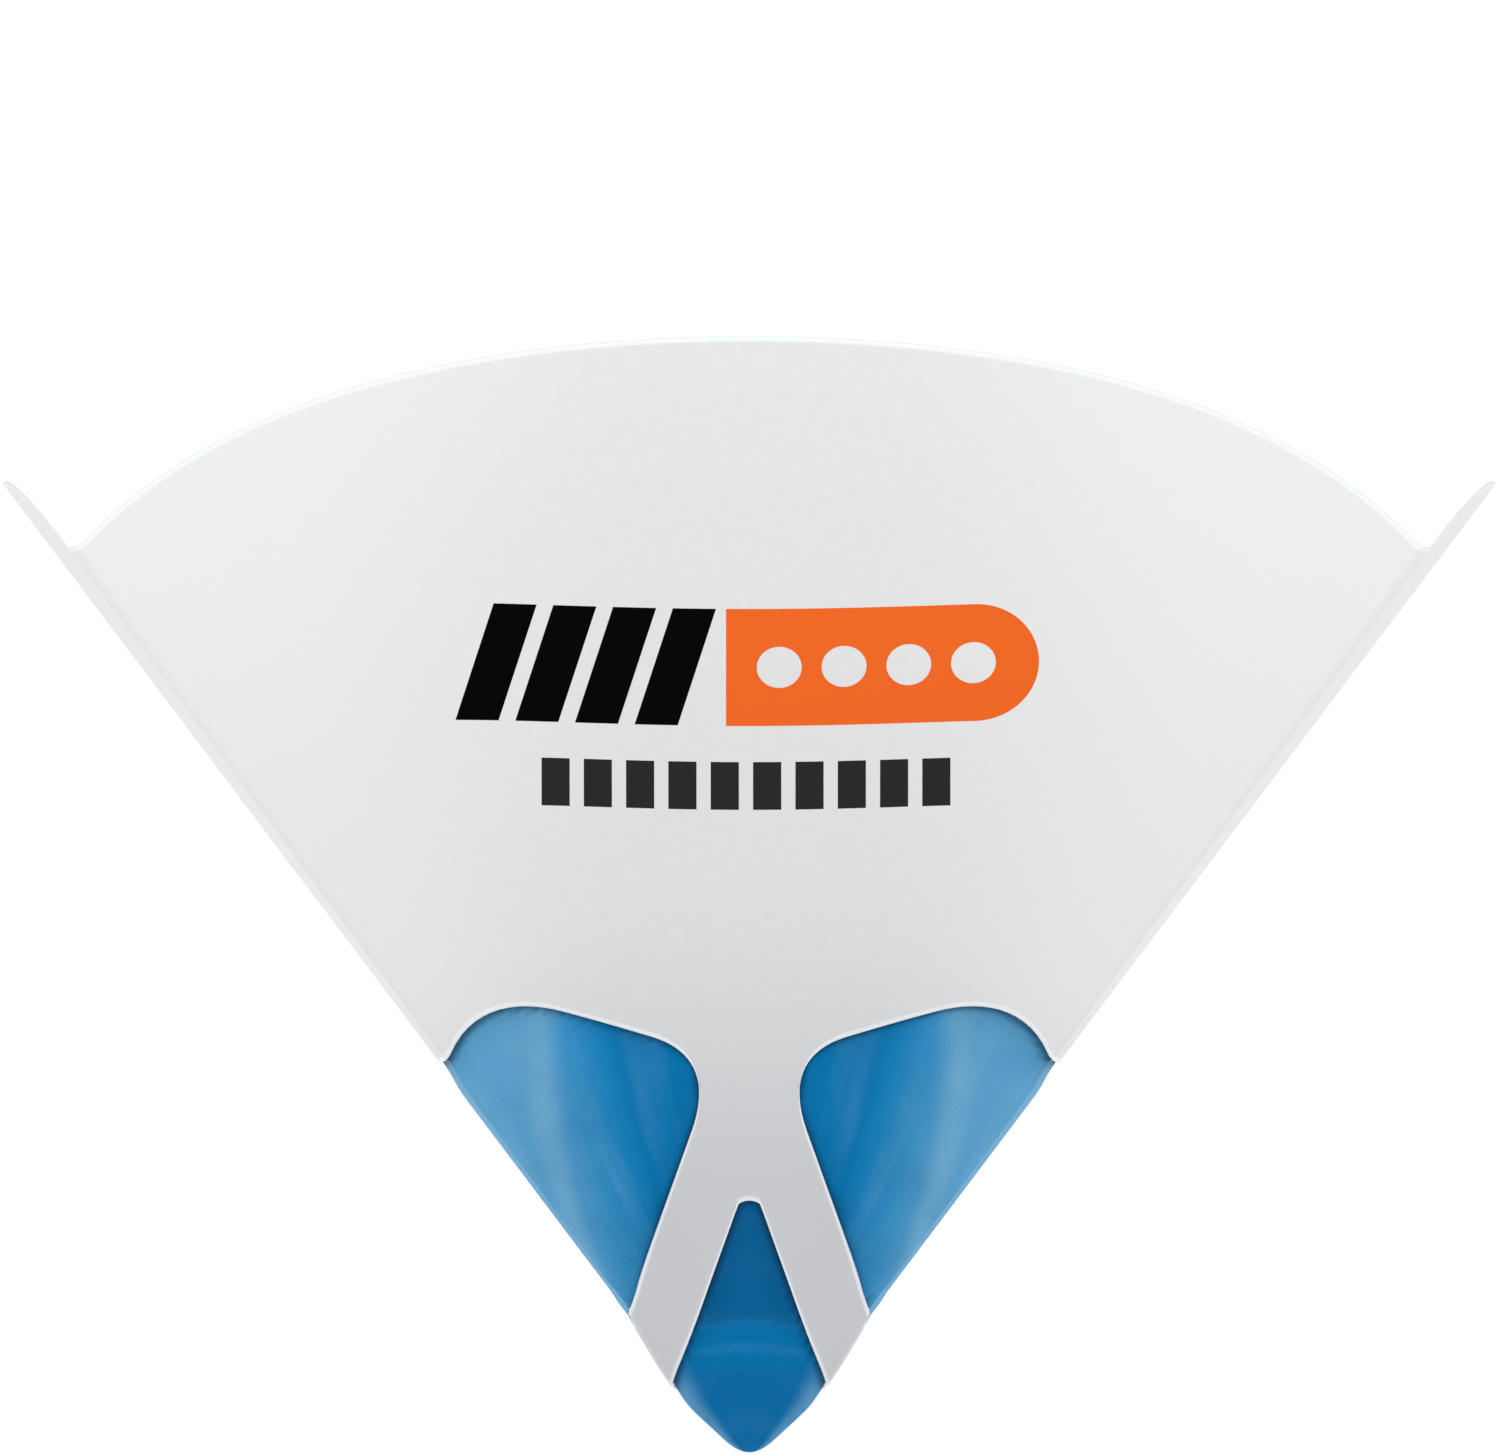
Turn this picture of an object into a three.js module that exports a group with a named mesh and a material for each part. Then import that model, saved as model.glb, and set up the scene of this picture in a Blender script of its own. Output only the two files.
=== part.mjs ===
import * as THREE from 'three';
import { mergeVertices } from 'three/addons/utils/BufferGeometryUtils.js';

// Paper paint strainer: a cone of folded white card with a blue nylon mesh glued inside.
// Lengths are in millimetres. The cone is modelled tip down, front towards -Y, with the
// point where its rulings meet at the origin, and is then laid on its flat back panel.

// Sheets
const slantLength = 150;
const paperThickness = 0.3;
const meshThickness = 0.2;
const glueGap = 0.3;
const meshSlant = 78;

// Panel slopes: how far each panel spreads from the axis for each millimetre of height
const frontSlope = 0.445;
const frontCreaseDepthSlope = 0.534;
const frontCreaseSideSlope = 0.725;
const sideSlope = 0.755;
const backCreaseSideSlope = 0.744;
const backSlope = 0.55;
const creaseSoftSlope = 0.02;
const frontDipSlope = 0.083;

// Blunt tip, as heights above the point where the rulings meet
const tipHeight = 2.8;
const tipFlankHeight = 1.2;
const shoulderHeight = 10.3;
const shoulderSpread = 11.7;
const coneHeight = 21.9;

// Side window in the flat sheet: along is measured down the side ruling from the
// apex, across is measured square to it
const windowHead = { along: 62, across: 27 };
const windowCorner = { along: 62.4, across: 35.4 };
const windowBrow = { along: 52.6, across: 38.4 };
const windowTemple = { along: 41.5, across: 41.8 };
const windowTrunkAcross = 44.3;
const windowLegAcross = 33.9;

// Legs in the flat sheet: a straight band on each side of the side ruling
const legLean = THREE.MathUtils.degToRad(15.1);
const legInner = 12.3;
const legWidth = 8.3;
const forkHeight = 36.2;
const forkRadius = 2.2;
const sideSoftness = 10;

// Glue lap at the middle of the back panel
const lapHalf = THREE.MathUtils.degToRad(2.2);
const lapStep = THREE.MathUtils.degToRad(0.1);
const lapClearance = THREE.MathUtils.degToRad(0.9);

// Half of the section at unit height, from the middle of the front to the middle of
// the back, as curves of width against depth, with depth positive towards the front
function sectionHalf() {
  const soft = creaseSoftSlope;
  const path = new THREE.Path();
  path.moveTo(0, frontSlope);
  path.bezierCurveTo(
    0.42 * frontCreaseSideSlope, frontSlope,
    0.66 * frontCreaseSideSlope, frontSlope - frontDipSlope,
    frontCreaseSideSlope - soft, frontCreaseDepthSlope - 0.65 * soft,
  );
  path.quadraticCurveTo(
    frontCreaseSideSlope, frontCreaseDepthSlope,
    frontCreaseSideSlope + 0.4 * soft, frontCreaseDepthSlope - 0.9 * soft,
  );
  path.quadraticCurveTo(
    frontCreaseSideSlope + 0.6 * soft, 0.5 * frontCreaseDepthSlope,
    sideSlope, 0,
  );
  path.quadraticCurveTo(
    sideSlope + 0.2 * soft, -0.5 * backSlope,
    backCreaseSideSlope + 0.1 * soft, soft - backSlope,
  );
  path.quadraticCurveTo(backCreaseSideSlope, -backSlope, backCreaseSideSlope - soft, -backSlope);
  path.lineTo(0, -backSlope);
  return path;
}

// Rulings of the half section, each with its angle in the flat sheet, measured from
// the front middle, and the angles where one curve of the section ends
function unrollHalf() {
  const rulings = [];
  const ends = [0];
  let angle = 0;
  for (const curve of sectionHalf().curves) {
    for (const { x, y } of curve.getPoints(60)) {
      const direction = new THREE.Vector3(x, y, 1);
      const last = rulings.at(-1);
      if (last) angle += last.direction.angleTo(direction);
      rulings.push({ direction, angle });
    }
    ends.push(angle);
  }
  return { rulings, ends };
}

const { rulings, ends } = unrollHalf();
const [, frontCreaseStart, frontCreaseEnd, sideAngle, backCreaseStart, backCreaseEnd, backAngle] = ends;

function rulingAt(angle) {
  const next = rulings.findIndex((ruling) => ruling.angle >= angle);
  if (next <= 0) return rulings.at(next).direction;
  const low = rulings[next - 1];
  const high = rulings[next];
  const share = (angle - low.angle) / (high.angle - low.angle || 1);
  return low.direction.clone().lerp(high.direction, share);
}

// Spread of the cone at a height: equal to the height on the true cone, rounder below
function tipPath() {
  const flank = (share) => [
    shoulderSpread * share,
    tipFlankHeight + (shoulderHeight - tipFlankHeight) * share,
  ];
  const upper = (share) => [
    shoulderSpread + (coneHeight - shoulderSpread) * share,
    shoulderHeight + (coneHeight - shoulderHeight) * share,
  ];
  const roundShare = (tipHeight - tipFlankHeight) / (shoulderHeight - tipFlankHeight);
  const path = new THREE.Path();
  path.moveTo(0, tipHeight);
  path.quadraticCurveTo(...flank(roundShare), ...flank(2.2 * roundShare));
  path.lineTo(...flank(0.75));
  path.quadraticCurveTo(...flank(1), ...upper(0.3));
  path.lineTo(...upper(1));
  return path;
}

const tipRows = tipPath().getPoints(5).map(({ x, y }) => ({ spread: x, height: y }));

function spreadAt(height) {
  const next = tipRows.findIndex((row) => row.height >= height);
  if (next < 0) return height;
  if (next === 0) return 0;
  const low = tipRows[next - 1];
  const high = tipRows[next];
  return THREE.MathUtils.mapLinear(height, low.height, high.height, low.spread, high.spread);
}

// A point of the strainer on a ruling, a given depth inside its outer face. Towards the
// tip the depth fades and the inner face of a sheet rises instead.
const sideInset = Math.hypot(1, sideSlope) / sideSlope;
const depthInset = (Math.hypot(1, frontSlope) + Math.hypot(1, backSlope)) / (frontSlope + backSlope);
const depthShift = frontSlope * depthInset - Math.hypot(1, frontSlope);

function pointOn(direction, height, spread, depth, rise = 0) {
  const share = Math.min(1, spread / shoulderSpread) ** 4;
  const deep = depth * share;
  const backOrFront = direction.y < 0 ? Math.min(spread, height) : spread;
  return new THREE.Vector3(
    direction.x * (spread - sideInset * deep),
    -(direction.y * (backOrFront - depthInset * deep) + depthShift * deep),
    height + rise * (1 - share),
  );
}

// Outer edge of a leg in the flat sheet: how far along the side ruling it lies
function legEdge(across) {
  return (legInner + legWidth) / Math.cos(legLean) + across * Math.tan(legLean);
}

// Outline of half a side window in the flat sheet, from its head on the side ruling
// round to its foot there, as polar points about the apex
function windowOutline() {
  const foot = legEdge(0.4 * sideSoftness);
  const path = new THREE.Path();
  path.moveTo(windowHead.along, 0);
  path.lineTo(windowHead.along, windowHead.across);
  path.quadraticCurveTo(windowCorner.along, windowCorner.across, windowBrow.along, windowBrow.across);
  path.lineTo(windowTemple.along, windowTemple.across);
  path.quadraticCurveTo(
    legEdge(windowTrunkAcross), windowTrunkAcross,
    legEdge(windowLegAcross), windowLegAcross,
  );
  path.lineTo(legEdge(sideSoftness), sideSoftness);
  path.quadraticCurveTo(foot, 0.4 * sideSoftness, foot, 0);
  return path.getSpacedPoints(240).map(({ x, y }) => ({ angle: Math.atan2(y, x), radius: Math.hypot(x, y) }));
}

const outline = windowOutline();
const windowReach = Math.max(...outline.map((point) => point.angle));
const reachIndex = outline.findIndex((point) => point.angle === windowReach);
const headEdge = outline.slice(0, reachIndex + 1);
const footEdge = outline.slice(reachIndex).reverse();

// Radius of an edge, given as polar points in rising angle, at one angle
function radiusAt(edge, angle) {
  if (angle >= edge.at(-1).angle) return edge.at(-1).radius;
  const next = Math.max(1, edge.findIndex((point) => point.angle >= angle));
  const low = edge[next - 1];
  const high = edge[next];
  return THREE.MathUtils.mapLinear(angle, low.angle, high.angle, low.radius, high.radius);
}

// Lower edge of the paper: the inner edge of a leg, closed by a round fork at the trunk
function footRadius(fromSide, fromTrunk) {
  const leg = legInner / Math.cos(fromSide + legLean);
  const half = forkHeight * Math.tan(fromTrunk);
  if (half >= forkRadius) return leg;
  const round = forkHeight - forkRadius + Math.sqrt(forkRadius ** 2 - half ** 2);
  return Math.min(leg, round);
}

// Stations round the cone. Each span gives evenly spaced angles, or ones that crowd
// towards its start or end, where the window turns sharply.
function spanAngles(from, to, count, crowd = 'none') {
  const ease = {
    none: (share) => share,
    start: (share) => share ** 1.5,
    end: (share) => 1 - (1 - share) ** 1.5,
  }[crowd];
  return Array.from({ length: count }, (_, i) => from + (to - from) * ease(i / count));
}

function stationAngles() {
  const frontTrunk = sideAngle - windowReach;
  const backTrunk = sideAngle + windowReach;
  const lapEdge = backAngle - lapHalf;
  return [
    ...spanAngles(0, frontTrunk, 6),
    ...spanAngles(frontTrunk, frontCreaseStart, 20, 'start'),
    ...spanAngles(frontCreaseStart, frontCreaseEnd, 4),
    ...spanAngles(frontCreaseEnd, sideAngle, 6),
    ...spanAngles(sideAngle, backCreaseStart, 6),
    ...spanAngles(backCreaseStart, backCreaseEnd, 4),
    ...spanAngles(backCreaseEnd, backTrunk, 14, 'end'),
    ...spanAngles(backTrunk, lapEdge - lapClearance, 2),
    lapEdge - lapClearance,
    lapEdge - lapStep,
    ...spanAngles(lapEdge, backAngle, 3),
  ];
}

function makeStation(angle, side) {
  const direction = rulingAt(angle);
  const fromSide = Math.abs(angle - sideAngle);
  const fromMiddle = backAngle - angle;
  return {
    direction: new THREE.Vector3(side * direction.x, direction.y, 1),
    slope: direction.length(),
    layers: fromMiddle < lapHalf + lapStep / 2 ? 2 : 1,
    cover: fromMiddle < lapHalf + 2 * lapStep ? 2 : 1,
    foot: footRadius(fromSide, Math.min(angle, fromMiddle)),
    windowFoot: radiusAt(footEdge, fromSide),
    windowHead: radiusAt(headEdge, fromSide),
    inWindow: fromSide < windowReach - 1e-6,
  };
}

function makeStations() {
  const angles = stationAngles();
  const right = angles.map((angle) => makeStation(angle, 1));
  const left = angles.slice(1).map((angle) => makeStation(angle, -1));
  return [...right, makeStation(backAngle, 1), ...left.reverse()];
}

const stations = makeStations();

// Solid sheet on a grid of stations and rows. The cells that solidCell refuses are
// left open, and every edge between solid and open gets a wall.
function sheetGeometry(rowCount, pointAt, solidCell) {
  const corners = [];
  const triangle = (a, b, c) => {
    if (!a.equals(b) && !b.equals(c) && !c.equals(a)) corners.push(a, b, c);
  };
  const quad = (a, b, c, d) => {
    triangle(a, b, c);
    triangle(a, c, d);
  };
  const count = stations.length;
  const solid = (i, j) => j >= 0 && j < rowCount - 1 && solidCell((i + count) % count, j);
  const grid = [0, 1].map((face) =>
    stations.map((_, i) => Array.from({ length: rowCount }, (__, j) => pointAt(i, j, face))));
  const [outer, inner] = grid;
  for (let i = 0; i < count; i++) {
    const k = (i + 1) % count;
    for (let j = 0; j < rowCount - 1; j++) {
      if (!solid(i, j)) continue;
      quad(outer[i][j], outer[k][j], outer[k][j + 1], outer[i][j + 1]);
      quad(inner[i][j], inner[i][j + 1], inner[k][j + 1], inner[k][j]);
      if (!solid(i, j - 1)) quad(outer[k][j], outer[i][j], inner[i][j], inner[k][j]);
      if (!solid(i, j + 1)) quad(outer[i][j + 1], outer[k][j + 1], inner[k][j + 1], inner[i][j + 1]);
      if (!solid(i - 1, j)) quad(outer[i][j], outer[i][j + 1], inner[i][j + 1], inner[i][j]);
      if (!solid(i + 1, j)) quad(outer[k][j + 1], outer[k][j], inner[k][j], inner[k][j + 1]);
    }
  }
  const geometry = mergeVertices(new THREE.BufferGeometry().setFromPoints(corners), 1e-4);
  geometry.computeVertexNormals();
  return geometry;
}

// Paper: rows up each ruling from the foot to the window and from the window to the rim
const legRows = 5;

function paperGeometry() {
  const windowRow = legRows - 1;
  const pointAt = (i, j, face) => {
    const station = stations[i];
    const slant = [
      ...Array.from({ length: legRows }, (_, row) =>
        THREE.MathUtils.lerp(station.foot, station.windowFoot, row / windowRow)),
      station.windowHead,
      slantLength,
    ][j];
    const height = slant / station.slope;
    return pointOn(station.direction, height, spreadAt(height), face * station.layers * paperThickness);
  };
  const open = (i) => stations[i].inWindow || stations[(i + 1) % stations.length].inWindow;
  return sheetGeometry(legRows + 2, pointAt, (i, j) => j !== windowRow || !open(i));
}

// Mesh: rows up from the blunt tip, with a last row at its upper edge
function meshGeometry() {
  const pointAt = (i, j, face) => {
    const station = stations[i];
    const row = tipRows[j];
    const height = row ? row.height : meshSlant / station.slope;
    const rise = face * meshThickness;
    const depth = station.cover * paperThickness + glueGap + rise;
    return pointOn(station.direction, height, row ? row.spread : height, depth, rise);
  };
  return sheetGeometry(tipRows.length + 1, pointAt, () => true);
}

function piece(name, geometry, color, roughness) {
  const material = new THREE.MeshStandardMaterial({ color, roughness, metalness: 0 });
  const mesh = new THREE.Mesh(geometry, material);
  mesh.name = name;
  return mesh;
}

// Lay the cone on its back panel, then centre it over its footprint
const strainer = new THREE.Group();
strainer.add(piece('paper_cone', paperGeometry(), 0xe6e7e9, 0.85));
strainer.add(piece('mesh_filter', meshGeometry(), 0x2f7fb8, 0.55));
strainer.rotation.x = Math.atan(backSlope) - Math.PI / 2;
const box = new THREE.Box3().setFromObject(strainer, true);
strainer.position.y = -box.getCenter(new THREE.Vector3()).y;

const group = new THREE.Group();
group.add(strainer);

export default group;
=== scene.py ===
import bmesh
import bpy
from math import atan, atan2, cos, hypot, pi, radians, sin, sqrt, tan
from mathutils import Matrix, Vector


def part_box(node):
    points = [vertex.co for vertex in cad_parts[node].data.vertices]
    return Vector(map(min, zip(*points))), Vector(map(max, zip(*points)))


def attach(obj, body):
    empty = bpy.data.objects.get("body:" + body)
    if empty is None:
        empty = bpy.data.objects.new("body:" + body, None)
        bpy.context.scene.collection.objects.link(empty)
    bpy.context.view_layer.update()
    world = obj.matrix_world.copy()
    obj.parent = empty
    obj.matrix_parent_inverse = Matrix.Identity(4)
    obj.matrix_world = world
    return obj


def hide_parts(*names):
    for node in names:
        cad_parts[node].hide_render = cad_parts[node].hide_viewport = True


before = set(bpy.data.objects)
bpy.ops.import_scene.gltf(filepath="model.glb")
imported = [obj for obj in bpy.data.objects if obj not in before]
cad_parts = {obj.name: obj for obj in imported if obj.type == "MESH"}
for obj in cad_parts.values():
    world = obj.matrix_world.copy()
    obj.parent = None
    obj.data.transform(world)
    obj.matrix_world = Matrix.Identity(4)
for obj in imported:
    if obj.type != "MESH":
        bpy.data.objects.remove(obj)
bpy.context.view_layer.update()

# A paint strainer: a die-cut card folded into a cone, with a cone of nylon mesh glued
# inside. Both are flat sheets folded along straight rulings from the cone's point.

MM = 0.001

# Sheets: their length along every ruling, their thickness, and the glue between them
SLANT = 150 * MM
CARD = 0.3 * MM
MESH = 0.16 * MM
MESH_SLANT = 78 * MM
GLUE = 0.045 * MM

# How far the mesh swells out of its windows, and over what distance from the card
BULGE = 0.45 * MM
BULGE_RUN = 5 * MM

# Panel slopes: spread from the axis for each metre of height
FRONT = 0.445
FRONT_DIP = 0.083
FRONT_CREASE = Vector((0.725, 0.534))
SIDE = 0.755
BACK = 0.55
BACK_CREASE = Vector((0.744, -BACK))
SOFT = 0.02

# Blunt tip of the mesh: its end, its shoulder, and where it joins the true cone
TIP = 2.5 * MM
TIP_FLANK = 1.2 * MM
SHOULDER = Vector((12.2 * MM, 9.75 * MM))
CONE = 21.9 * MM

# Side window and legs in the flat sheet, along and across the side ruling
WINDOW_HEAD = Vector((62 * MM, 27 * MM))
WINDOW_CORNER = Vector((61.9 * MM, 35.3 * MM))
WINDOW_BROW = Vector((52.6 * MM, 38.4 * MM))
WINDOW_TEMPLE = Vector((41.5 * MM, 41.8 * MM))
TRUNK_ACROSS = 44.3 * MM
LEG_ACROSS = 33.9 * MM
LEG_LEAN = radians(15.1)
LEG_INNER = 12.3 * MM
LEG_WIDTH = 8.3 * MM
LEG_SWELL = 1.1 * MM
LEG_SWELL_REACH = radians(45)
FORK_HEIGHT = 36.2 * MM
FORK_RADIUS = 2.2 * MM
SIDE_SOFT = 10 * MM

# Glue lap at the middle of the back: its half width, its step and the air in the step
LAP_HALF = radians(2.2)
LAP_RAMP = radians(0.5)
LAP_CLEAR = 0.015 * MM

# Rows of the sheets' grids, and the width and steepness of the paler cut edge
LEG_ROWS = 22
HEAD_ROWS = 30
MESH_ROWS = 64
EDGE_BAND = 0.8 * MM
EDGE_STEEP = 1.6

# Painted shade on the mesh beside the card: a line and a soft fall
SHADE_LINE = 0.9 * MM
SHADE_FALL = 5 * MM

# Card: its flecks, painted light on its sides, its low part, greyer where it backs the mesh and painted
# darker towards the tip as shade, and its cut edges
CARD_LOW = "#E3E3E4"
CARD_HIGH = "#E6E6E7"
CARD_SIDE_LIGHT = "#EFEFEF"
CARD_GLUED_SHADE = "#D3D4D8"
CARD_EDGE = "#F8FDFF"
SIDE_LIGHT_START = 8 * MM
SIDE_LIGHT_FULL = 55 * MM
GLUED_SHADE_FULL = 36 * MM
FLECKS_PER_METRE = 650.0
FIBRES_PER_METRE = 5200.0
CARD_IOR = 1.48

# Print on the front, in the flat sheet: across from the middle, up from the cone's point
INK_BLACK = "#030405"
INK_ORANGE = "#F26A26"
INK_GREY = "#2B2B2B"
BAND_UP = 106.6 * MM
BAND_HEIGHT = 15.4 * MM
BAR_COUNT = 4
BAR_FIRST = -30.5 * MM
BAR_PITCH = 7.2 * MM
BAR_WIDTH = 5.2 * MM
BAR_LEAN = 0.3
BAND_MIDDLE = 12.2 * MM
BAND_LENGTH = 30 * MM
DOT_COUNT = 4
DOT_FIRST = 3.6 * MM
DOT_PITCH = 7.8 * MM
DOT_RADIUS = 2.7 * MM
BLOCKS_UP = 91 * MM
BLOCKS_MIDDLE = 0.1 * MM
BLOCKS_LENGTH = 51 * MM
BLOCK_HEIGHT = 6.3 * MM
BLOCK_PITCH = 5.1 * MM
BLOCK_GAP = 1.7 * MM
BLOCK_SHIFT = 0.4 * MM

# Mesh: its blue, painted paler from the middle outwards as sheen, then its painted sheen, its deep tone with
# painted shade, and its painted shadow
MESH_SHEEN_BANDS = [(0.0, "#037BB8"), (0.2, "#1B87C3"), (0.5, "#3A96CC"), (0.8, "#59A3D2"), (1.0, "#5FA6D2")]
MESH_SHEEN = "#8CC0E0"
MESH_DEEP_AND_SHADE = "#045F98"
MESH_SHADOW = "#06314F"
MESH_IOR = 1.53
WEAVE_PITCH = 0.38 * MM

# Painted sheen: the blues turn paler off the middle, further out by a share of the slant
SHEEN_BAND_DRIFT = 0.22
SHEEN_BAND_START = 2.9 * MM
SHEEN_BAND_FULL = 14 * MM

# Soft patches, painted sheen in wisps along the cone, and the broad painted sheen, in radians from the
# middle
PATCHES_PER_METRE = 80.0
SHEEN_WISPS_PER_RADIAN = 9.0
SHEEN_WISPS_PER_METRE = 28.0
SHEEN_DRIFT = 6.6
SHEEN_START = 0.833
SHEEN_WIDTH = 0.06

# Tip: rings of painted glint, painted sheen on the flanks at angles from the side, and the painted shade
# under the fork
TIP_REACH = 27 * MM
RINGS_PER_RADIAN = 0.6
RINGS_PER_METRE = 230.0
FLANK_SHEEN = 0.45
FLANK_REACH = 13 * MM
FLANK_FULL = 0.42
FLANK_END = 0.62
FORK_SHADE_LOW = 18.8 * MM
FORK_SHADE_FADE = 2.2 * MM
FORK_SHADE_TOP_FADE = 3 * MM

# Shine of both matt surfaces
SPECULAR = 0.04

# Studio
FLOOR_COLOUR = "#999999"
FLOOR_GLOW = 0.88
FLOOR_HALF = 4
FLOOR_DROP = 0.05 * MM
WORLD_LIGHT = 0.62
KEY_POWER = 0.45
KEY_WIDTH = 0.6
KEY_DEPTH = 0.15
KEY_ALONG = 0.2
KEY_ABOVE = 0.28
KEY_AIM = 0.1

# The photograph, in its pixels: its width, a ruling's length, and where its middle lies
# from the cone's point. The lens and sensor are in millimetres.
PHOTO_WIDTH = 1500
PHOTO_SLANT = 1240
PHOTO_MIDDLE_UP = 745.5
PHOTO_MIDDLE_RIGHT = 0.7
LENS = 1400
SENSOR = 36

# The cone's own frame in the scene: it lies on its back panel, tip towards -Y
TILT = atan(BACK)
APEX = Vector((0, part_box("paper_cone")[1][1] - SLANT, 0))
RIGHT = Vector((1, 0, 0))
AXIS = Vector((0, cos(TILT), sin(TILT)))
FACE = Vector((0, -sin(TILT), cos(TILT)))


# Curves and tables

def quadratic(a, b, c, count):
    """Points of a quadratic curve from a towards c, without its last point."""
    steps = [i / count for i in range(count)]
    return [a * (1 - t) ** 2 + b * (2 * t * (1 - t)) + c * t ** 2 for t in steps]


def cubic(a, b, c, d, count):
    steps = [i / count for i in range(count)]
    return [a * (1 - t) ** 3 + b * (3 * t * (1 - t) ** 2) + c * (3 * t * t * (1 - t)) + d * t ** 3
            for t in steps]


def straight(a, b, count):
    return [a.lerp(b, i / count) for i in range(count)]


def clamp(share):
    return max(0, min(1, share))


def smooth(share):
    share = clamp(share)
    return share * share * (3 - 2 * share)


def between(table, value):
    """Linear reading of a rising table of pairs."""
    if value <= table[0][0]:
        return table[0][1]
    low, high = 0, len(table) - 1
    if value >= table[high][0]:
        return table[high][1]
    while high - low > 1:
        mid = (low + high) // 2
        low, high = (mid, high) if table[mid][0] <= value else (low, mid)
    a, b = table[low], table[high]
    return a[1] + (b[1] - a[1]) * ((value - a[0]) / (b[0] - a[0]))


# Form of the cone

def section_half():
    """Half section at unit height, from the middle of the front to the middle of the back."""
    start = Vector((0, FRONT))
    lead = Vector((0.42 * FRONT_CREASE.x, FRONT))
    dip = Vector((0.66 * FRONT_CREASE.x, FRONT - FRONT_DIP))
    crease_in = FRONT_CREASE + SOFT * Vector((-1, -0.65))
    crease_out = FRONT_CREASE + SOFT * Vector((0.4, -0.9))
    cheek = Vector((FRONT_CREASE.x + 0.6 * SOFT, 0.5 * FRONT_CREASE.y))
    side = Vector((SIDE, 0))
    flank = Vector((SIDE + 0.2 * SOFT, -0.5 * BACK))
    back_in = BACK_CREASE + SOFT * Vector((0.1, 1))
    back_out = BACK_CREASE + SOFT * Vector((-1, 0))
    middle = Vector((0, -BACK))
    spans = [
        cubic(start, lead, dip, crease_in, 80),
        quadratic(crease_in, FRONT_CREASE, crease_out, 24),
        quadratic(crease_out, cheek, side, 50),
        quadratic(side, flank, back_in, 50),
        quadratic(back_in, BACK_CREASE, back_out, 24),
        straight(back_out, middle, 60),
    ]
    return spans, middle


def unroll():
    """Rulings of the half section with their angle in the flat sheet, and each span's end."""
    spans, middle = section_half()
    rulings, ends = [], []
    angle = 0
    for span in [*spans, [middle]]:
        for i, point in enumerate(span):
            ruling = Vector((point.x, point.y, 1))
            if rulings:
                angle += rulings[-1][1].angle(ruling)
            rulings.append((angle, ruling))
            if i == 0:
                ends.append(angle)
    return rulings, ends


RULINGS, ENDS = unroll()
CREASE_A, CREASE_B, SIDE_ANGLE, BACK_A, BACK_B, BACK_ANGLE = ENDS[1:]
LAP_START = BACK_ANGLE - LAP_HALF


def ruling_at(bearing):
    """Ruling at a signed angle from the front middle, past the back middle too."""
    angle = abs(bearing)
    side = 1 if bearing >= 0 else -1
    if angle > BACK_ANGLE:
        angle, side = 2 * BACK_ANGLE - angle, -side
    ruling = between(RULINGS, angle)
    return Vector((side * ruling.x, ruling.y, 1))


def tip_profile():
    """Spread against height from the blunt tip up to the true cone."""
    base = Vector((0, TIP_FLANK))
    cone = Vector((CONE, CONE))
    share = (TIP - TIP_FLANK) / (SHOULDER.y - TIP_FLANK)
    start = Vector((0, TIP))
    round_in = base.lerp(SHOULDER, share)
    round_out = base.lerp(SHOULDER, 2.2 * share)
    low = base.lerp(SHOULDER, 0.7)
    high = SHOULDER.lerp(cone, 0.3)
    return [
        *quadratic(start, round_in, round_out, 12),
        *straight(round_out, low, 8),
        *quadratic(low, SHOULDER, high, 10),
        *straight(high, cone, 6),
        cone,
    ]


PROFILE = tip_profile()
SPREADS = [(point.y, point.x) for point in PROFILE]


def spread_at(height):
    return between(SPREADS, height) if height < CONE else height


# What a depth of one takes off the spread at the sides, and off the front and back
SIDE_INSET = hypot(1, SIDE) / SIDE
DEPTH_INSET = (hypot(1, FRONT) + hypot(1, BACK)) / (FRONT + BACK)
DEPTH_SHIFT = FRONT * DEPTH_INSET - hypot(1, FRONT)


def place(ruling, height, spread, depth):
    """Scene point on a ruling, a depth inside the outer face of the card."""
    deep = depth * min(1, spread / SHOULDER.x) ** 4
    reach = min(spread, height) if ruling.y < 0 else spread
    across = ruling.x * (spread - SIDE_INSET * deep)
    toward = ruling.y * (reach - DEPTH_INSET * deep) + DEPTH_SHIFT * deep
    return APEX + RIGHT * across + FACE * toward + AXIS * height


# Outline of the card in the flat sheet

def leg_edge(across):
    """Outer edge of a leg: how far along the side ruling it lies."""
    return (LEG_INNER + LEG_WIDTH) / cos(LEG_LEAN) + across * tan(LEG_LEAN)


def window_edges():
    """Foot and head of the side window as tables of radius against angle from the side."""
    legs = [Vector((leg_edge(y), y)) for y in (TRUNK_ACROSS, LEG_ACROSS, SIDE_SOFT, 0.4 * SIDE_SOFT)]
    foot = Vector((legs[3].x, 0))
    outline = [
        *straight(Vector((WINDOW_HEAD.x, 0)), WINDOW_HEAD, 30),
        *quadratic(WINDOW_HEAD, WINDOW_CORNER, WINDOW_BROW, 30),
        *straight(WINDOW_BROW, WINDOW_TEMPLE, 20),
        *quadratic(WINDOW_TEMPLE, legs[0], legs[1], 60),
        *straight(legs[1], legs[2], 30),
        *quadratic(legs[2], legs[3], foot, 12),
        foot,
    ]
    polar = [(atan2(p.y, p.x), p.length) for p in outline]
    turn = max(range(len(polar)), key=lambda i: polar[i][0])
    return polar[turn:][::-1], polar[:turn + 1]


WINDOW_FOOT, WINDOW_TOP = window_edges()
REACH = WINDOW_TOP[-1][0]


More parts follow.
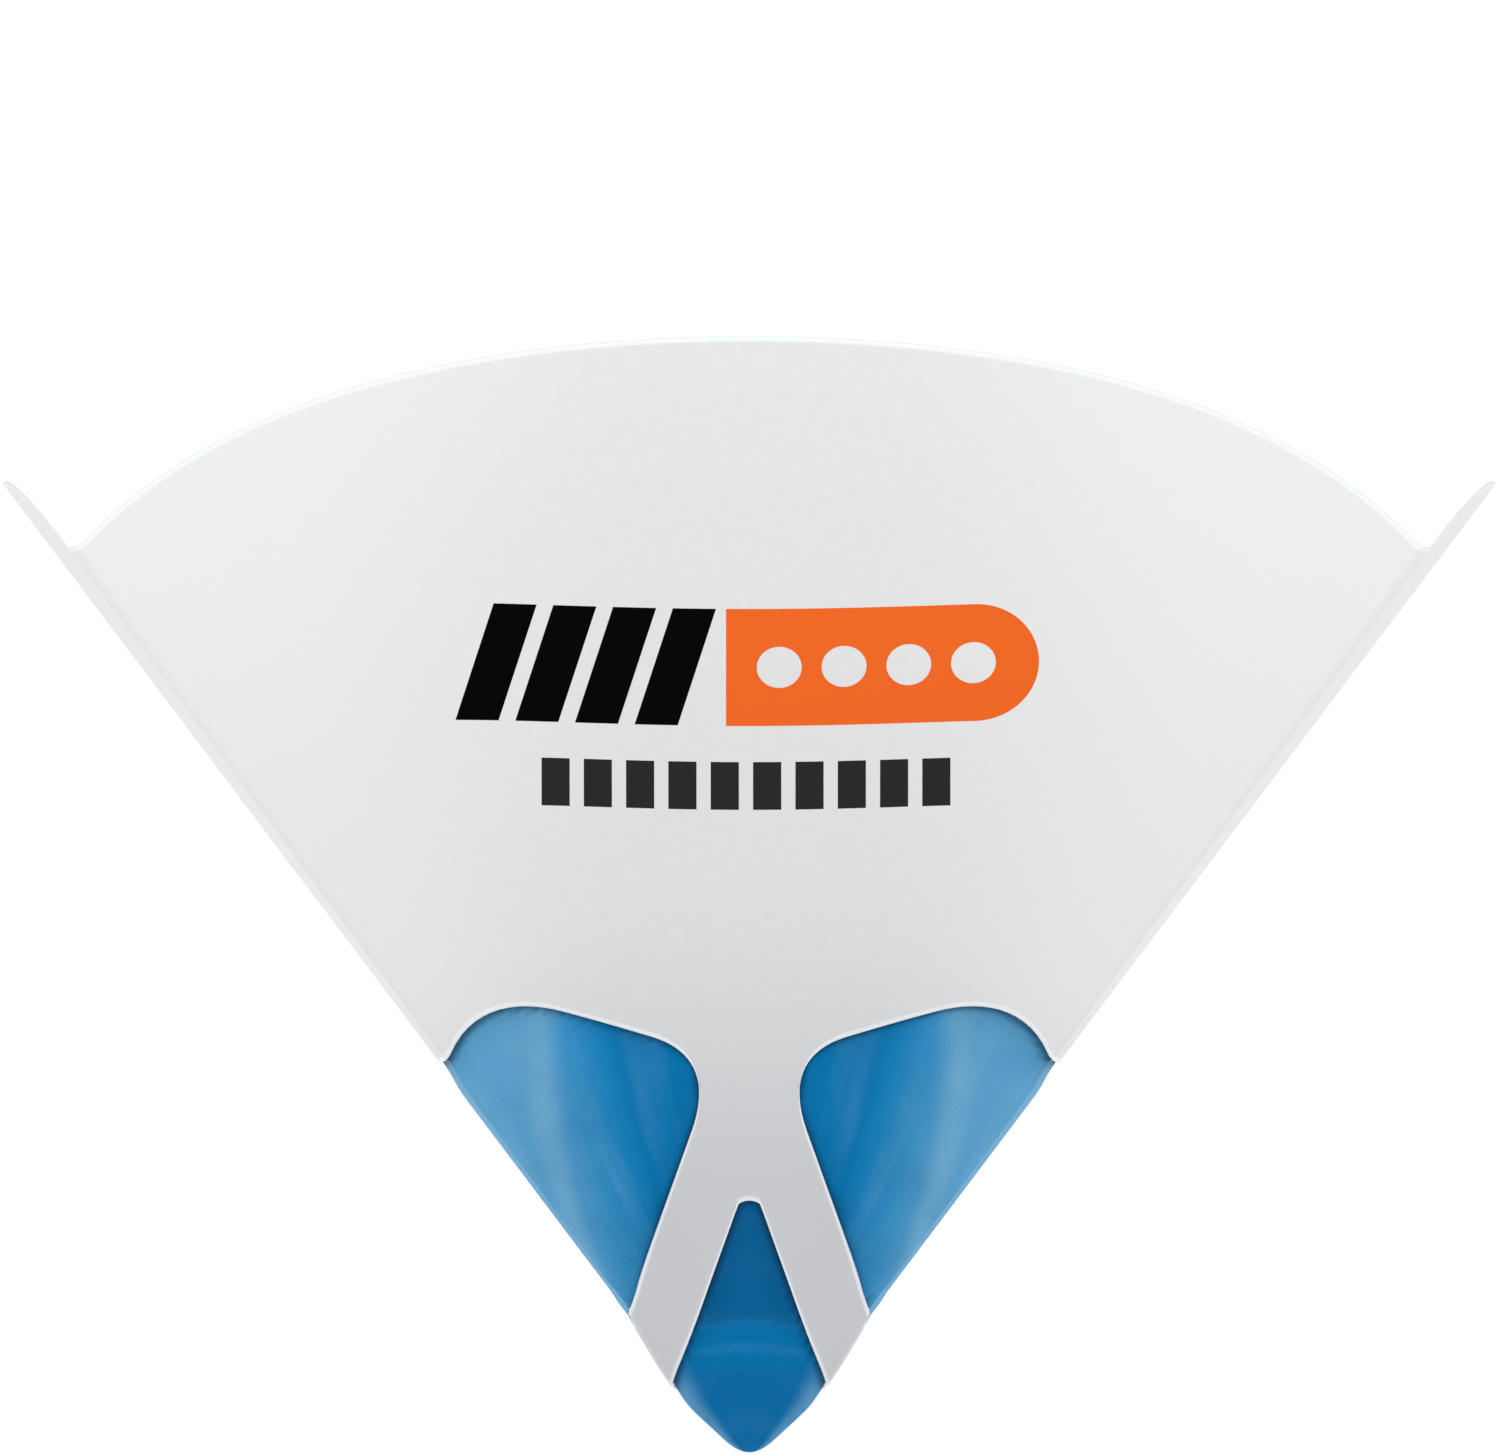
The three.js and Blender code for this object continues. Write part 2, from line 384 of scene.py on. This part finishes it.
def card_foot(from_side, from_trunk):
    """Lower edge of the card: the inner edge of a leg, with a round fork at the trunk."""
    swell = LEG_SWELL * sin(pi * min(1, from_side / LEG_SWELL_REACH))
    leg = LEG_INNER / cos(from_side + LEG_LEAN) - swell
    half = FORK_HEIGHT * tan(from_trunk)
    if half >= FORK_RADIUS:
        return leg
    return min(leg, FORK_HEIGHT - FORK_RADIUS + sqrt(FORK_RADIUS ** 2 - half ** 2))


def edges_at(angle):
    """On the ruling at an angle: its angle from the side, the foot of the card, and the
    foot and head of the window."""
    from_side = abs(angle - SIDE_ANGLE)
    foot = card_foot(from_side, min(angle, BACK_ANGLE - angle))
    return from_side, foot, between(WINDOW_FOOT, from_side), between(WINDOW_TOP, from_side)


# Grids

def eased(start, stop, count, power=1.0, late=False):
    """Angles from start towards stop, crowded towards one end by a power above one."""
    shares = [i / count for i in range(count)]
    if late:
        return [stop - (stop - start) * (1 - t) ** power for t in shares]
    return [start + (stop - start) * t ** power for t in shares]


def sheet_angles():
    """Bearings of the grid's columns from the front middle to the end of the back lap."""
    front_trunk = SIDE_ANGLE - REACH
    back_trunk = SIDE_ANGLE + REACH
    lap_end = BACK_ANGLE + LAP_HALF
    return [
        *eased(0, front_trunk, 10),
        *eased(front_trunk, CREASE_A, 46, 1.8),
        *eased(CREASE_A, CREASE_B, 12),
        *eased(CREASE_B, SIDE_ANGLE, 24),
        *eased(SIDE_ANGLE, BACK_A, 24),
        *eased(BACK_A, BACK_B, 12),
        *eased(BACK_B, back_trunk, 40, 1.8, late=True),
        *eased(back_trunk, LAP_START - LAP_RAMP, 4),
        *eased(LAP_START - LAP_RAMP, LAP_START, 4),
        *eased(LAP_START, lap_end, 8),
        lap_end,
    ]


def mirrored(half):
    """Columns of the whole sheet from those of its right half."""
    return [-angle for angle in reversed(half)] + half[1:]


def flat_sheet(columns, rows, values):
    """A grid of one column for each bearing, with its columns of vertices and its layers:
    the flat-sheet UV map and the named values."""
    bm = bmesh.new()
    bm.loops.layers.uv.new("flat_sheet")
    for name in values:
        bm.verts.layers.float.new(name)
    bmesh.ops.create_grid(bm, x_segments=len(columns) - 1, y_segments=rows - 1, size=1)
    bm.verts.ensure_lookup_table()
    bm.verts.index_update()
    grid = [[bm.verts[j * len(columns) + i] for j in range(rows)] for i in range(len(columns))]
    return bm, grid


def store_flat(bm, flat):
    """Flat-sheet coordinates of every vertex as the UV map, in metres."""
    layer = bm.loops.layers.uv["flat_sheet"]
    for face in bm.faces:
        for loop in face.loops:
            loop[layer].uv = flat[loop.vert.index]


def store_value(bm, name, values):
    layer = bm.verts.layers.float[name]
    for vert in bm.verts:
        vert[layer] = values[vert.index]


def band_shares(length, count):
    """Shares from 0 to 1 with a narrow first and last band for a cut edge."""
    band = min(0.3, EDGE_BAND / max(length, 1e-6))
    inner = [band + (1 - 2 * band) * i / (count - 5) for i in range(count - 4)]
    return [0, band / 2, *inner, 1 - band / 2, 1]


def turn_outward(bm):
    """Turn all the faces to look away from the axis."""
    bmesh.ops.recalc_face_normals(bm, faces=bm.faces)
    top = max(bm.faces, key=lambda face: face.calc_center_median().z)
    if top.normal.dot(FACE) < 0:
        bmesh.ops.reverse_faces(bm, faces=bm.faces)


def new_object(name, bm):
    """Smooth-shaded object from a bmesh."""
    mesh = bpy.data.meshes.new(name)
    bm.to_mesh(mesh)
    bm.free()
    for face in mesh.polygons:
        face.use_smooth = True
    thing = bpy.data.objects.new(name, mesh)
    bpy.context.scene.collection.objects.link(thing)
    return thing


def thicken(piece, name, thickness):
    """Wall behind the outer face. The inner side and the rim take the second material."""
    wall = piece.modifiers.new(name, "SOLIDIFY")
    wall.thickness = thickness
    wall.offset = -1
    wall.material_offset = 1
    wall.material_offset_rim = 1


# Card cone

def window_faces(columns, grid):
    """The faces between the legs and the head of the card, all along its windows."""
    faces = []
    for i in range(len(columns) - 1):
        middle = abs(columns[i] + columns[i + 1]) / 2
        angle = min(middle, 2 * BACK_ANGLE - middle)
        if abs(angle - SIDE_ANGLE) < REACH:
            corners = {grid[i][LEG_ROWS - 1], grid[i][LEG_ROWS], grid[i + 1][LEG_ROWS]}
            faces += [face for face in grid[i][LEG_ROWS].link_faces if corners <= set(face.verts)]
    return faces


def build_card():
    """The card cone: a flat sheet cut to its outline, folded and lapped at the back."""
    columns = mirrored(sheet_angles())
    bm, grid = flat_sheet(columns, LEG_ROWS + HEAD_ROWS, ["cut_edge"])
    flat, edge = {}, {}
    for bearing, column in zip(columns, grid):
        angle = min(abs(bearing), 2 * BACK_ANGLE - abs(bearing))
        from_side, foot, window_foot, window_head = edges_at(angle)
        ruling = ruling_at(bearing)
        tuck = clamp((-bearing - LAP_START + LAP_RAMP) / LAP_RAMP)
        legs = [foot + (window_foot - foot) * t for t in band_shares(window_foot - foot, LEG_ROWS)]
        head = [window_head + (SLANT - window_head) * t
                for t in band_shares(SLANT - window_head, HEAD_ROWS)]
        for slant, vert in zip([*legs, *head], column):
            height = slant / ruling.length
            vert.co = place(ruling, height, spread_at(height), tuck * (CARD + LAP_CLEAR))
            flat[vert.index] = (slant * sin(bearing), slant * cos(bearing))
            gaps = [slant - foot, SLANT - slant, (BACK_ANGLE + LAP_HALF - abs(bearing)) * slant]
            if from_side < REACH:
                gaps += [abs(slant - window_foot), abs(slant - window_head)]
            edge[vert.index] = clamp(EDGE_STEEP * (1 - min(gaps) / EDGE_BAND))
    store_flat(bm, flat)
    store_value(bm, "cut_edge", edge)
    bmesh.ops.delete(bm, geom=window_faces(columns, grid), context="FACES")
    bmesh.ops.dissolve_degenerate(bm, dist=1e-7, edges=bm.edges)
    turn_outward(bm)
    card = new_object("card_cone", bm)
    thicken(card, "card thickness", CARD)
    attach(card, "root")
    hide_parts("paper_cone")
    return card


# Mesh cone

def swell_gap(slant, angle):
    """How far a point of the mesh is from the card's edge, in a window or past the foot.
    Under the card it is nothing."""
    from_side, foot, window_foot, window_head = edges_at(angle)
    along_lean = slant * cos(from_side + LEG_LEAN)
    if from_side < REACH and window_foot < slant < window_head:
        return min(along_lean - LEG_INNER - LEG_WIDTH, window_head - slant, (REACH - from_side) * slant)
    return min(foot - slant, LEG_INNER - along_lean) if slant < foot else 0


def build_mesh():
    """The nylon cone with its blunt tip, welded down the middle of the back."""
    columns = mirrored([*[angle for angle in sheet_angles() if angle < BACK_ANGLE], BACK_ANGLE])
    bm, grid = flat_sheet(columns, len(PROFILE) + MESH_ROWS, ["card_edge_shade", "bearing"])
    flat, shade, bearings = {}, {}, {}
    for bearing, column in zip(columns, grid):
        angle = abs(bearing)
        ruling = ruling_at(bearing)
        layers = 1 + clamp((angle - LAP_START + 2 * LAP_RAMP) / LAP_RAMP)
        off_floor = smooth((BACK_A - angle) / (BACK_A - SIDE_ANGLE))
        top = MESH_SLANT / ruling.length
        rises = [CONE + (top - CONE) * (j + 1) / MESH_ROWS for j in range(MESH_ROWS)]
        for (spread, height), vert in zip([*PROFILE, *[(rise, rise) for rise in rises]], column):
            slant = height * ruling.length
            gap = swell_gap(slant, angle)
            bulge = BULGE * smooth(gap / BULGE_RUN) * off_floor
            vert.co = place(ruling, height, spread, layers * CARD + GLUE - bulge)
            flat[vert.index] = (slant * sin(bearing), slant * cos(bearing))
            bearings[vert.index] = bearing
            line = max(0, 1 - gap / SHADE_LINE)
            fall = max(0, 1 - gap / SHADE_FALL) ** 2
            shade[vert.index] = 0.7 * line + 0.3 * fall
    store_flat(bm, flat)
    store_value(bm, "card_edge_shade", shade)
    store_value(bm, "bearing", bearings)
    bmesh.ops.remove_doubles(bm, verts=bm.verts, dist=1e-6)
    turn_outward(bm)
    mesh = new_object("nylon_mesh_cone", bm)
    thicken(mesh, "mesh thickness", MESH)
    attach(mesh, "root")
    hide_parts("mesh_filter")
    return mesh


# Materials

def linear(code):
    """Linear colour from an sRGB hex value."""
    channels = [int(code[i:i + 2], 16) / 255 for i in (1, 3, 5)]
    return (*[c / 12.92 if c <= 0.04045 else ((c + 0.055) / 1.055) ** 2.4 for c in channels], 1)


def new_material(name):
    material = bpy.data.materials.new(name)
    material.use_nodes = True
    tree = material.node_tree
    tree.nodes.clear()
    shader = tree.nodes.new("ShaderNodeBsdfPrincipled")
    output = tree.nodes.new("ShaderNodeOutputMaterial")
    tree.links.new(shader.outputs[0], output.inputs["Surface"])
    return material, tree, shader


def put(tree, node, inputs):
    """Link the sockets among the inputs and set the values, in order or by name or number."""
    entries = inputs.items() if isinstance(inputs, dict) else enumerate(inputs)
    for key, value in entries:
        if isinstance(value, bpy.types.NodeSocket):
            tree.links.new(value, node.inputs[key])
        else:
            node.inputs[key].default_value = value


def add(tree, kind, inputs=(), out=0, **settings):
    """Add a node with its settings and inputs, and give back one of its outputs."""
    node = tree.nodes.new("ShaderNode" + kind)
    for key, value in settings.items():
        setattr(node, key, value)
    put(tree, node, inputs)
    return node.outputs[out]


def block(tree, across, up, x, y, width, height, lean=0.0):
    """Where a block lies, given by its middle, size and lean, in metres of the flat sheet."""
    rise = add(tree, "Math", [up, y], operation="SUBTRACT")
    shear = add(tree, "Math", [rise, lean], operation="MULTIPLY")
    upright = add(tree, "Math", [across, shear], operation="SUBTRACT")
    wide = add(tree, "Math", [upright, x, width / 2], operation="COMPARE")
    tall = add(tree, "Math", [up, y, height / 2], operation="COMPARE")
    return add(tree, "Math", [wide, tall], operation="MULTIPLY")


def disc(tree, across, up, x, y, radius):
    here = add(tree, "CombineXYZ", [across, up])
    distance = add(tree, "VectorMath", [here, (x, y, 0)], out="Value", operation="DISTANCE")
    return add(tree, "Math", [distance, radius], operation="LESS_THAN")


def printed_over(tree, base, across, up):
    """Flat ink in plain fields: leaning bars, a band with a round end and bare dots, and a
    row of blocks."""
    bars = 0.0
    for i in range(BAR_COUNT):
        x = BAR_FIRST + i * BAR_PITCH
        bar = block(tree, across, up, x, BAND_UP, BAR_WIDTH, BAND_HEIGHT, BAR_LEAN)
        bars = add(tree, "Math", [bars, bar], operation="MAXIMUM")
    band = block(tree, across, up, BAND_MIDDLE, BAND_UP, BAND_LENGTH, BAND_HEIGHT)
    end = disc(tree, across, up, BAND_MIDDLE + BAND_LENGTH / 2, BAND_UP, BAND_HEIGHT / 2)
    band = add(tree, "Math", [band, end], operation="MAXIMUM")
    for i in range(DOT_COUNT):
        dot = disc(tree, across, up, DOT_FIRST + i * DOT_PITCH, BAND_UP, DOT_RADIUS)
        band = add(tree, "Math", [band, dot], operation="SUBTRACT", use_clamp=True)
    row = block(tree, across, up, BLOCKS_MIDDLE, BLOCKS_UP, BLOCKS_LENGTH, BLOCK_HEIGHT)
    shifted = add(tree, "Math", [across, BLOCK_SHIFT], operation="ADD")
    from_gap = add(tree, "Math", [shifted, BLOCK_PITCH / 2], operation="PINGPONG")
    off_gap = add(tree, "Math", [from_gap, BLOCK_GAP / 2], operation="GREATER_THAN")
    blocks = add(tree, "Math", [row, off_gap], operation="MULTIPLY")
    base = add(tree, "Mix", {0: bars, 6: base, 7: linear(INK_BLACK)}, out=2, data_type="RGBA")
    base = add(tree, "Mix", {0: band, 6: base, 7: linear(INK_ORANGE)}, out=2, data_type="RGBA")
    return add(tree, "Mix", {0: blocks, 6: base, 7: linear(INK_GREY)}, out=2, data_type="RGBA")


def card_material(name, printed):
    """Uncoated filter card, calendered: matt white with a faint fibre mottle and paler,
    freshly cut edges. Painted light makes it paler towards the sides, and it is greyer where the glued mesh
    backs it, with painted shade darker towards the tip."""
    material, tree, shader = new_material(name)
    uv = add(tree, "UVMap", uv_map="flat_sheet")
    across, up = add(tree, "SeparateXYZ", [uv]).node.outputs[:2]
    # Flecks about 1.5 mm across
    mottle = add(tree, "TexNoise", {"Vector": uv, "Scale": FLECKS_PER_METRE, "Detail": 3.0}, out="Fac")
    tone = add(tree, "MapRange", [mottle, 0.3, 0.7, 0.0, 1.0])
    base = add(tree, "Mix", {0: tone, 6: linear(CARD_LOW), 7: linear(CARD_HIGH)}, out=2, data_type="RGBA")
    # Painted light: the card turns paler towards its sides
    off_middle = add(tree, "Math", [across], operation="ABSOLUTE")
    side_light = add(tree, "MapRange", [off_middle, SIDE_LIGHT_START, SIDE_LIGHT_FULL, 0.0, 0.8],
                interpolation_type="SMOOTHSTEP")
    base = add(tree, "Mix", {0: side_light, 6: base, 7: linear(CARD_SIDE_LIGHT)}, out=2, data_type="RGBA")
    # Greyer where the glued mesh backs it, with painted shade darker towards the tip
    slant = add(tree, "VectorMath", [uv], out="Value", operation="LENGTH")
    glued_shade = add(tree, "MapRange", [slant, MESH_SLANT, GLUED_SHADE_FULL, 0.0, 1.0], interpolation_type="SMOOTHSTEP")
    base = add(tree, "Mix", {0: glued_shade, 6: base, 7: linear(CARD_GLUED_SHADE)}, out=2, data_type="RGBA")
    cut = add(tree, "Attribute", out="Fac", attribute_name="cut_edge")
    pale = add(tree, "Math", [cut, 0.95], operation="MULTIPLY")
    base = add(tree, "Mix", {0: pale, 6: base, 7: linear(CARD_EDGE)}, out=2, data_type="RGBA")
    if printed:
        base = printed_over(tree, base, across, up)
    # Fibres about 0.2 mm thick, as a fine bump
    fibre = add(tree, "TexNoise", {"Vector": uv, "Scale": FIBRES_PER_METRE, "Detail": 2.0}, out="Fac")
    put(tree, shader, {
        "Base Color": base,
        "Roughness": add(tree, "MapRange", [mottle, 0.2, 0.8, 0.82, 0.95]),
        "Normal": add(tree, "Bump", {"Strength": 0.12, "Distance": 0.05 * MM, "Height": fibre}),
        "IOR": CARD_IOR,
        "Specular IOR Level": SPECULAR,
    })
    return material


def painted_sheen_bands(tree, across, slant):
    """The blue of the mesh, painted paler away from the middle as sheen, along lines that cross the rulings.
    """
    off_middle = add(tree, "Math", [across], operation="ABSOLUTE")
    drift = add(tree, "Math", [slant, SHEEN_BAND_DRIFT], operation="MULTIPLY")
    off_line = add(tree, "Math", [off_middle, drift], operation="SUBTRACT")
    pale = add(tree, "MapRange", [off_line, SHEEN_BAND_START, SHEEN_BAND_FULL, 0.0, 1.0])
    sheen_bands = add(tree, "ValToRGB", [pale])
    elements = sheen_bands.node.color_ramp.elements
    for position, code in MESH_SHEEN_BANDS[1:-1]:
        elements.new(position)
    for element, (position, code) in zip(elements, MESH_SHEEN_BANDS):
        element.position = position
        element.color = linear(code)
    return sheen_bands


def mesh_material(name, outside):
    """Plain-woven nylon monofilament: deep blue, with a soft painted sheen that draws out into
    lighter bands along the cone, painted glints and shade on the tip and, outside, a painted shadow beside
    the card. The weave is a bump at its true pitch."""
    material, tree, shader = new_material(name)
    uv = add(tree, "UVMap", uv_map="flat_sheet")
    across, up = add(tree, "SeparateXYZ", [uv]).node.outputs[:2]
    slant = add(tree, "VectorMath", [uv], out="Value", operation="LENGTH")
    signed = add(tree, "Attribute", out="Fac", attribute_name="bearing")
    bearing = add(tree, "Math", [signed], operation="ABSOLUTE")
    tip = add(tree, "MapRange", [slant, TIP_REACH, 1.4 * TIP_REACH, 1.0, 0.0])
    base = painted_sheen_bands(tree, across, slant)

    # Painted sheen in wisps drawn out along the cone, above the tip
    wisp_across = add(tree, "Math", [bearing, SHEEN_WISPS_PER_RADIAN], operation="MULTIPLY")
    wisp_along = add(tree, "Math", [slant, SHEEN_WISPS_PER_METRE], operation="MULTIPLY")
    wisps = add(tree, "CombineXYZ", [wisp_across, wisp_along])
    wisp = add(tree, "TexNoise", {"Vector": wisps, "Scale": 1.0, "Detail": 3.0}, out="Fac")
    wisp_sheen = add(tree, "MapRange", [wisp, 0.5, 0.75, 0.0, 0.4])
    off_front = add(tree, "MapRange", [bearing, 0.3, 0.5, 0.25, 1.0])
    sheen_lift = add(tree, "Math", [wisp_sheen, off_front], operation="MULTIPLY")
    off_tip = add(tree, "Math", [1.0, tip], operation="SUBTRACT")
    sheen_lift = add(tree, "Math", [sheen_lift, off_tip], operation="MULTIPLY")

    # One broad painted sheen that crosses the rulings a little
    sheen_drift = add(tree, "Math", [slant, SHEEN_DRIFT], operation="MULTIPLY")
    crossing = add(tree, "Math", [sheen_drift, bearing], operation="ADD")
    from_start = add(tree, "Math", [crossing, SHEEN_START], operation="SUBTRACT")
    off_sheen = add(tree, "Math", [from_start], operation="ABSOLUTE")
    sheen = add(tree, "MapRange", [off_sheen, 0.0, SHEEN_WIDTH, 0.4, 0.0], interpolation_type="SMOOTHSTEP")
    sheen_lift = add(tree, "Math", [sheen_lift, sheen], operation="MAXIMUM")

    # Painted sheen on the flanks low on the tip
    from_side = add(tree, "Math", [bearing, SIDE_ANGLE], operation="SUBTRACT")
    off_side = add(tree, "Math", [from_side], operation="ABSOLUTE")
    flank = add(tree, "MapRange", [off_side, FLANK_FULL, FLANK_END, FLANK_SHEEN, 0.0],
                interpolation_type="SMOOTHSTEP")
    low = add(tree, "MapRange", [slant, FLANK_REACH, 1.3 * FLANK_REACH, 1.0, 0.0])
    low_flank_sheen = add(tree, "Math", [flank, low], operation="MULTIPLY")
    sheen_lift = add(tree, "Math", [sheen_lift, low_flank_sheen], operation="MAXIMUM")
    # The painted sheen is mixed over the blue
    base = add(tree, "Mix", {0: sheen_lift, 6: base, 7: linear(MESH_SHEEN)}, out=2, data_type="RGBA")

    # Faint rings of painted glint round the tip, about 4 mm apart, where the sheet was drawn to a point
    ring_across = add(tree, "Math", [bearing, RINGS_PER_RADIAN], operation="MULTIPLY")
    ring_along = add(tree, "Math", [slant, RINGS_PER_METRE], operation="MULTIPLY")
    rings = add(tree, "CombineXYZ", [ring_across, ring_along])
    ring = add(tree, "TexNoise", {"Vector": rings, "Scale": 1.0, "Detail": 2.0}, out="Fac")
    ring_glint = add(tree, "MapRange", [ring, 0.5, 0.75, 0.0, 0.1])
    glint = add(tree, "Math", [tip, ring_glint], operation="MULTIPLY")
    base = add(tree, "Mix", {0: glint, 6: base, 7: linear(MESH_SHEEN)}, out=2, data_type="RGBA")

    # Deeper in soft patches about 12 mm across, between the rings and low on the tip
    patch = add(tree, "TexNoise", {"Vector": uv, "Scale": PATCHES_PER_METRE, "Detail": 2.0}, out="Fac")
    deep = add(tree, "MapRange", [patch, 0.45, 0.75, 0.0, 0.25])
    ring_deep = add(tree, "MapRange", [ring, 0.3, 0.5, 0.5, 0.0])
    dull = add(tree, "Math", [tip, ring_deep], operation="MULTIPLY")
    deep = add(tree, "Math", [deep, dull], operation="MAXIMUM")
    off_flank = add(tree, "Math", [FLANK_SHEEN, flank], operation="SUBTRACT")
    low_middle = add(tree, "Math", [low, off_flank], operation="MULTIPLY")
    deep = add(tree, "Math", [deep, low_middle], operation="MAXIMUM")

    # Painted shade below the fork too, where the legs stand over the mesh
    above_tip = add(tree, "MapRange", [slant, FORK_SHADE_LOW, FORK_SHADE_LOW + FORK_SHADE_FADE, 0.0, 1.0])
    under_fork = add(tree, "MapRange", [slant, FORK_HEIGHT, FORK_HEIGHT + FORK_SHADE_TOP_FADE, 1.0, 0.0])
    amid_legs = add(tree, "MapRange", [bearing, 0.2, 0.4, 0.8, 0.0])
    fork_shade = add(tree, "Math", [above_tip, under_fork], operation="MULTIPLY")
    fork_shade = add(tree, "Math", [fork_shade, amid_legs], operation="MULTIPLY")
    deep = add(tree, "Math", [deep, fork_shade], operation="MAXIMUM")
    # The deeper tone, with the painted shade under the fork, mixed over the blue
    base = add(tree, "Mix", {0: deep, 6: base, 7: linear(MESH_DEEP_AND_SHADE)}, out=2, data_type="RGBA")

    if outside:
        # Painted shadow of the card's edges, on the outside of the mesh only
        near = add(tree, "Attribute", out="Fac", attribute_name="card_edge_shade")
        shadow = add(tree, "Math", [near, 0.85], operation="MULTIPLY")
        base = add(tree, "Mix", {0: shadow, 6: base, 7: linear(MESH_SHADOW)}, out=2, data_type="RGBA")

    turns = 2 * pi / WEAVE_PITCH
    warp_phase = add(tree, "Math", [across, turns], operation="MULTIPLY")
    weft_phase = add(tree, "Math", [up, turns], operation="MULTIPLY")
    warp = add(tree, "Math", [warp_phase], operation="SINE")
    weft = add(tree, "Math", [weft_phase], operation="SINE")
    weave = add(tree, "Math", [warp, weft], operation="MULTIPLY")
    put(tree, shader, {
        "Base Color": base,
        "Roughness": 0.5,
        "Normal": add(tree, "Bump", {"Strength": 0.4, "Distance": 0.05 * MM, "Height": weave}),
        "IOR": MESH_IOR,
        "Specular IOR Level": SPECULAR,
    })
    return material


def give(piece, *materials):
    for material in materials:
        piece.data.materials.append(material)


# Floor, light and camera

def build_floor():
    bm = bmesh.new()
    bmesh.ops.create_grid(bm, x_segments=1, y_segments=1, size=FLOOR_HALF)
    floor = new_object("studio_floor", bm)
    floor.location.z = -FLOOR_DROP
    material, tree, shader = new_material("white studio floor")
    put(tree, shader, {
        "Base Color": linear(FLOOR_COLOUR),
        "Roughness": 0.9,
        "Emission Color": (1, 1, 1, 1),
        "Emission Strength": FLOOR_GLOW,
    })
    give(floor, material)


def build_light():
    """White all round, and one strip above the front that the camera doesn't see."""
    world = bpy.data.worlds.new("studio")
    world.use_nodes = True
    background = world.node_tree.nodes["Background"]
    background.inputs["Color"].default_value = (1, 1, 1, 1)
    background.inputs["Strength"].default_value = WORLD_LIGHT
    bpy.context.scene.world = world
    strip = bpy.data.lights.new("overhead strip", "AREA")
    strip.shape = "RECTANGLE"
    strip.size = KEY_WIDTH
    strip.size_y = KEY_DEPTH
    strip.energy = KEY_POWER
    light = bpy.data.objects.new("overhead strip", strip)
    light.location = APEX + AXIS * KEY_ALONG + FACE * KEY_ABOVE
    light.rotation_mode = "QUATERNION"
    light.rotation_quaternion = (APEX + AXIS * KEY_AIM - light.location).to_track_quat("-Z", "Y")
    light.visible_camera = False
    bpy.context.scene.collection.objects.link(light)


def build_camera():
    """Long lens square to the cone's axis."""
    pixel = SLANT / PHOTO_SLANT
    data = bpy.data.cameras.new("camera")
    data.lens = LENS
    data.sensor_width = SENSOR
    data.clip_end = 100
    camera = bpy.data.objects.new("camera", data)
    aim = APEX + AXIS * (PHOTO_MIDDLE_UP * pixel) + RIGHT * (PHOTO_MIDDLE_RIGHT * pixel)
    camera.location = aim + FACE * (PHOTO_WIDTH * pixel * LENS / SENSOR)
    camera.rotation_mode = "QUATERNION"
    camera.rotation_quaternion = FACE.to_track_quat("Z", "Y")
    bpy.context.scene.collection.objects.link(camera)
    bpy.context.scene.camera = camera


build_camera()
give(build_card(), card_material("printed white filter card", True),
     card_material("uncoated white filter card", False))
give(build_mesh(), mesh_material("woven blue nylon with painted card shadow", True),
     mesh_material("woven blue nylon", False))
build_floor()
build_light()
bpy.context.scene.view_settings.view_transform = "Standard"
